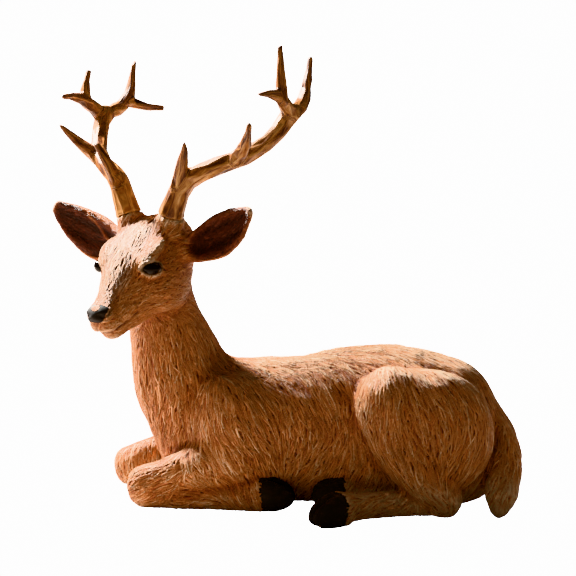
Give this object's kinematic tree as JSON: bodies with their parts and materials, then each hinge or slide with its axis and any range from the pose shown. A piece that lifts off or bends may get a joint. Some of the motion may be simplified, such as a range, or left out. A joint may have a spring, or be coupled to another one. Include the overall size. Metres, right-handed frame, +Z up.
{
  "type": "resin deer figurine",
  "caption": "Cast resin figurine of a lying stag with legs folded under it, head turned to one side, branching antlers, leaf-shaped ears and carved fur.",
  "frame": {"origin": "middle of the bounding box in X and Y, on the plane that the figurine rests on", "axes": "+Z up, -X the way the stag's body faces, -Y its left side, to which the head is turned"},
  "size_m": [0.3178, 0.1766, 0.2998],
  "materials": {
    "fur": "painted resin, tan brown with a dark wash in the carving, satin",
    "horn": "painted resin, dark brown with pale rubbed ridges, low gloss",
    "eye": "gloss black"
  },
  "bodies": {
    "root": {"deer_body": "fur", "antler_left": "horn", "antler_right": "horn", "eye_left": "eye", "eye_right": "eye"}
  },
  "joints": []
}
